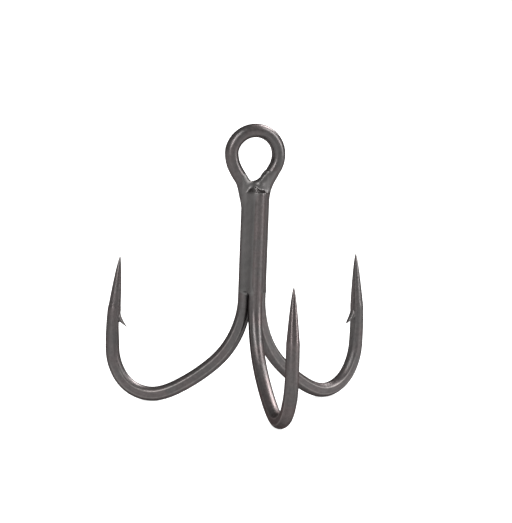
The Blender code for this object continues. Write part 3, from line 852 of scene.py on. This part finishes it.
def braze_seam():
    """The braze that fills the grooves between the three wires and the bottom of the eye's hole."""
    reach = SEAM_REACH + SIDE_MARGIN
    bottom = SHANK_TOP_Z - BRAZE_LENGTH - SEAM_TAIL - LOWER_MARGIN
    low = (SHANK_AXIS_X - reach, SHANK_AXIS_Y - SEAM_FRONT, bottom)
    high = (SHANK_AXIS_X + reach, SEAM_REAR, SHANK_TOP_Z + SEAM_TOP + SIDE_MARGIN)
    verts, faces = surface_net(braze_field, low, high, BRAZE_CELL)
    verts = settle(braze_field, verts, 3)
    mesh = bpy.data.meshes.new("braze_seam")
    mesh.from_pydata([tuple(v) for v in verts], [], faces)
    obj = bpy.data.objects.new("braze_seam", mesh)
    bpy.context.scene.collection.objects.link(obj)
    for polygon in mesh.polygons:
        polygon.use_smooth = True
    mesh.set_sharp_from_angle(angle=math.radians(50.0))
    return obj


class Nodes:
    """Short calls for one material's node tree."""

    def __init__(self, name):
        self.material = bpy.data.materials.new(name)
        self.material.use_nodes = True
        self.tree = self.material.node_tree
        self.shader = self.tree.nodes["Principled BSDF"]

    def add(self, kind, **values):
        node = self.tree.nodes.new(kind)
        for key, value in values.items():
            setattr(node, key, value)
        return node

    def link(self, a, b):
        self.tree.links.new(a, b)

    def scaled(self, source, scale):
        """Coordinates scaled differently along each axis."""
        node = self.add("ShaderNodeMapping")
        node.inputs["Scale"].default_value = scale
        self.link(source, node.inputs["Vector"])
        return node.outputs["Vector"]

    def noise(self, vector, scale, detail, rough=0.5):
        node = self.add("ShaderNodeTexNoise")
        node.inputs["Scale"].default_value = scale
        node.inputs["Detail"].default_value = detail
        node.inputs["Roughness"].default_value = rough
        self.link(vector, node.inputs["Vector"])
        return node.outputs["Fac"]

    def spread(self, value, low, high, out_low, out_high):
        node = self.add("ShaderNodeMapRange")
        node.clamp = True
        for key, number in zip(
            ("From Min", "From Max", "To Min", "To Max"), (low, high, out_low, out_high)
        ):
            node.inputs[key].default_value = number
        self.link(value, node.inputs["Value"])
        return node.outputs["Result"]

    def math(self, operation, a, b):
        node = self.add("ShaderNodeMath", operation=operation)
        for socket, value in zip(node.inputs, (a, b)):
            if isinstance(value, (int, float)):
                socket.default_value = value
            else:
                self.link(value, socket)
        return node.outputs[0]

    def mix(self, factor, a, b, blend="MIX"):
        node = self.add("ShaderNodeMix", data_type="RGBA", blend_type=blend)
        if isinstance(factor, (int, float)):
            node.inputs["Factor"].default_value = factor
        else:
            self.link(factor, node.inputs["Factor"])
        for key, value in (("A", a), ("B", b)):
            socket = [s for s in node.inputs if s.name == key and s.type == "RGBA"][0]
            if isinstance(value, tuple):
                socket.default_value = value
            else:
                self.link(value, socket)
        return [s for s in node.outputs if s.type == "RGBA"][0]

    def grey(self, value):
        """The same value in all three channels."""
        node = self.add("ShaderNodeCombineColor")
        for socket in node.inputs:
            self.link(value, socket)
        return node.outputs[0]

    def bump(self, height, strength, distance, normal=None):
        node = self.add("ShaderNodeBump")
        node.inputs["Strength"].default_value = strength
        node.inputs["Distance"].default_value = distance
        self.link(height, node.inputs["Height"])
        if normal is not None:
            self.link(normal, node.inputs["Normal"])
        return node.outputs["Normal"]


def black_nickel(name, warm, cool):
    """Black nickel plating on drawn wire: drawing lines, cloudy tint, fine pits, and wear with a painted
    highlight along the flats' edges.
    """
    n = Nodes(name)
    place = n.add("ShaderNodeTexCoord").outputs["Object"]
    grain = n.add("ShaderNodeUVMap", uv_map="Grain").outputs["UV"]
    wear_and_highlight_uv = n.add("ShaderNodeUVMap", uv_map="Wear").outputs["UV"]
    edge_wear_and_highlight = n.add("ShaderNodeSeparateXYZ")
    n.link(wear_and_highlight_uv, edge_wear_and_highlight.inputs[0])
    clouds = n.noise(place, 420.0, 3.0, 0.55)
    mottle = n.noise(place, 2600.0, 3.0, 0.6)
    lines = n.noise(n.scaled(grain, (9.0, 0.22, 1.0)), 1.0, 4.0, 0.6)
    fine_lines = n.noise(n.scaled(grain, (30.0, 0.9, 1.0)), 1.0, 2.0, 0.5)
    pits = n.noise(place, 9000.0, 2.0, 0.7)

    # Colour: warm and cool clouds, mottled and lined, lightened along the flats' edges by wear and a painted
    # highlight
    tint = n.mix(n.spread(clouds, 0.38, 0.62, 0.0, 1.0), warm, cool)
    mottled = n.spread(mottle, 0.3, 0.7, 0.86, 1.14)
    shade = n.math("MULTIPLY", mottled, n.spread(lines, 0.3, 0.7, 0.90, 1.10))
    plate = n.mix(1.0, tint, n.grey(shade), "MULTIPLY")
    # Painted highlight and wear: the flats' edges lightened towards bare nickel, broken up by noise
    broken = n.spread(n.noise(place, 1500.0, 4.0, 0.7), 0.36, 0.60, 0.45, 1.0)
    rubbed_and_highlight = n.math("MULTIPLY", n.math("MULTIPLY", edge_wear_and_highlight.outputs[0], broken), EDGE_WEAR_AND_HIGHLIGHT)
    n.link(n.mix(rubbed_and_highlight, plate, BARE_NICKEL_AND_HIGHLIGHT), n.shader.inputs["Base Color"])
    n.shader.inputs["Specular Tint"].default_value = EDGE_TINT
    n.shader.inputs["Metallic"].default_value = 1.0

    # Roughness: satin along the arm, smoother where rubbed and on the ground point
    along = n.add("ShaderNodeSeparateXYZ")
    n.link(grain, along.inputs[0])
    start = ARM_LENGTH / MM
    ground = n.spread(along.outputs[1], start - 0.7, start + 0.4, 0.0, 1.0)
    satin = n.spread(along.outputs[1], SATIN_FROM, SATIN_TO, 0.0, 1.0)
    uneven = n.spread(mottle, 0.3, 0.7, -0.04, 0.05)
    rough = n.math("ADD", uneven, n.spread(fine_lines, 0.3, 0.7, -0.04, 0.04))
    rough = n.math("ADD", rough, PLATING_ROUGHNESS)
    rough = n.math("SUBTRACT", rough, n.math("MULTIPLY", rubbed_and_highlight, 0.10))
    rough = n.math("ADD", rough, n.math("MULTIPLY", satin, 0.08))
    rough = n.math("SUBTRACT", rough, n.math("MULTIPLY", ground, 0.12))
    n.link(rough, n.shader.inputs["Roughness"])

    # Relief: the drawing lines are mostly ground away on the point
    drawn = n.math("SUBTRACT", 1.0, n.math("MULTIPLY", ground, 0.85))
    normal = n.bump(n.math("MULTIPLY", lines, drawn), 0.35, 0.006 * MM)
    normal = n.bump(n.math("MULTIPLY", fine_lines, drawn), 0.22, 0.0025 * MM, normal)
    normal = n.bump(pits, 0.08, 0.002 * MM, normal)
    n.link(normal, n.shader.inputs["Normal"])
    return n.material


def braze_plating(name):
    """Black nickel over braze: duller and slightly uneven, with a few fine pores whose shade is painted
    dark.
    """
    n = Nodes(name)
    place = n.add("ShaderNodeTexCoord").outputs["Object"]
    flow = n.noise(n.scaled(place, (1.0, 1.0, 0.35)), 900.0, 4.0, 0.6)
    clouds = n.noise(place, 380.0, 2.0, 0.5)
    pores = n.noise(place, 6500.0, 2.0, 0.6)
    tint = n.mix(n.spread(clouds, 0.4, 0.6, 0.0, 1.0), BRAZE_DARK, BRAZE_LIGHT)
    shade = n.spread(flow, 0.3, 0.7, 0.88, 1.12)
    colour = n.mix(1.0, tint, n.grey(shade), "MULTIPLY")
    # Painted shade: the fine pores darkened in the colour
    pore_shade = n.spread(pores, 0.74, 0.80, 0.0, 0.8)
    n.link(n.mix(pore_shade, colour, PORE_SHADE), n.shader.inputs["Base Color"])
    n.shader.inputs["Specular Tint"].default_value = EDGE_TINT
    n.shader.inputs["Metallic"].default_value = 1.0
    n.link(n.spread(flow, 0.3, 0.7, 0.36, 0.46), n.shader.inputs["Roughness"])
    normal = n.bump(flow, 0.5, 0.02 * MM)
    normal = n.bump(pores, 0.4, 0.004 * MM, normal)
    n.link(normal, n.shader.inputs["Normal"])
    return n.material


def floor_paper():
    """Plain pale paper, lifted to white by a glow of its own."""
    n = Nodes("floor_paper")
    place = n.add("ShaderNodeTexCoord").outputs["Object"]
    fibre = n.noise(place, 900.0, 2.0)
    shade = n.spread(fibre, 0.3, 0.7, 0.29, 0.31)
    n.link(n.grey(shade), n.shader.inputs["Base Color"])
    n.shader.inputs["Roughness"].default_value = 0.9
    n.shader.inputs["Specular IOR Level"].default_value = 0.1
    n.shader.inputs["Emission Color"].default_value = (1.0, 1.0, 1.0, 1.0)
    n.shader.inputs["Emission Strength"].default_value = FLOOR_GLOW
    return n.material


def build_floor():
    """A wide pale sheet just under the three bends."""
    size = FLOOR_HALF_SIZE
    z = cad_low.z - FLOOR_DROP
    mesh = bpy.data.meshes.new("floor")
    corners = [(-size, -size, z), (size, -size, z), (size, size, z), (-size, size, z)]
    mesh.from_pydata(corners, [], [(0, 1, 2, 3)])
    mesh.materials.append(floor_paper())
    floor = bpy.data.objects.new("floor", mesh)
    bpy.context.scene.collection.objects.link(floor)


def build_world():
    """Even white surround."""
    world = bpy.data.worlds.new("studio")
    world.use_nodes = True
    bpy.context.scene.world = world
    shade = world.node_tree.nodes["Background"]
    shade.inputs["Color"].default_value = (1.0, 1.0, 1.0, 1.0)
    shade.inputs["Strength"].default_value = WORLD_LEVEL


def aim(obj, place, target):
    """Puts a light at a place, facing a target."""
    obj.location = place
    obj.rotation_mode = "QUATERNION"
    obj.rotation_quaternion = (Vector(target) - Vector(place)).to_track_quat("-Z", "Y")


def soft_light(name, azimuth, elevation, width, height, power):
    """Soft box around the hook; azimuth 0 is the camera's own side, positive to the right."""
    data = bpy.data.lights.new(name, "AREA")
    data.shape = "RECTANGLE"
    data.size = width
    data.size_y = height
    data.energy = power
    light = bpy.data.objects.new(name, data)
    bpy.context.scene.collection.objects.link(light)
    a = CAMERA_AZIMUTH + math.radians(azimuth)
    e = math.radians(elevation)
    middle = (cad_low + cad_high) / 2.0
    back = Vector((math.sin(a) * math.cos(e), -math.cos(a) * math.cos(e), math.sin(e)))
    aim(light, middle + back * LIGHT_DISTANCE, middle)
    light.visible_camera = False


def build_camera():
    """Long lens, a little above the hook."""
    az, el, roll = CAMERA_AZIMUTH, CAMERA_ELEVATION, CAMERA_ROLL
    back = Vector((math.sin(az) * math.cos(el), -math.cos(az) * math.cos(el), math.sin(el)))
    right = (-back).cross(Vector((0.0, 0.0, 1.0))).normalized()
    up = right.cross(-back)
    side = right * math.cos(roll) + up * math.sin(roll)
    top = up * math.cos(roll) - right * math.sin(roll)
    data = bpy.data.cameras.new("camera")
    data.lens = CAMERA_LENS
    data.sensor_width = 36.0
    data.clip_start = 0.01
    data.clip_end = 10.0
    camera = bpy.data.objects.new("camera", data)
    bpy.context.scene.collection.objects.link(camera)
    place = SHANK_HEAD + back * CAMERA_DISTANCE - side * CAMERA_SIDE - top * CAMERA_DROP
    turn = Matrix((side, top, back)).transposed().to_4x4()
    camera.matrix_world = Matrix.Translation(place) @ turn
    bpy.context.scene.camera = camera


def build():
    """Everything around the frame."""
    build_camera()
    build_world()
    build_floor()
    for box in SOFT_BOXES:
        soft_light(*box)
    bpy.context.scene.view_settings.view_transform = "Standard"
    wire = double_hook()
    wire.data.materials.append(black_nickel("double_wire_plating_fine", DOUBLE_WARM, DOUBLE_COOL))
    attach(wire, "root")
    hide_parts("double_hook_wire")
    third = single_hook()
    third.data.materials.append(black_nickel("single_wire_plating_fine", SINGLE_LIT_WARM, SINGLE_LIT_COOL))
    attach(third, "root")
    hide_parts("single_hook_wire")
    braze = braze_seam()
    braze.data.materials.append(braze_plating("braze_plating_fine"))
    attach(braze, "root")
    beads = ("braze_bead_left", "braze_bead_right", "braze_bead_rear", "braze_core", "braze_throat")
    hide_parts(*beads)


build()
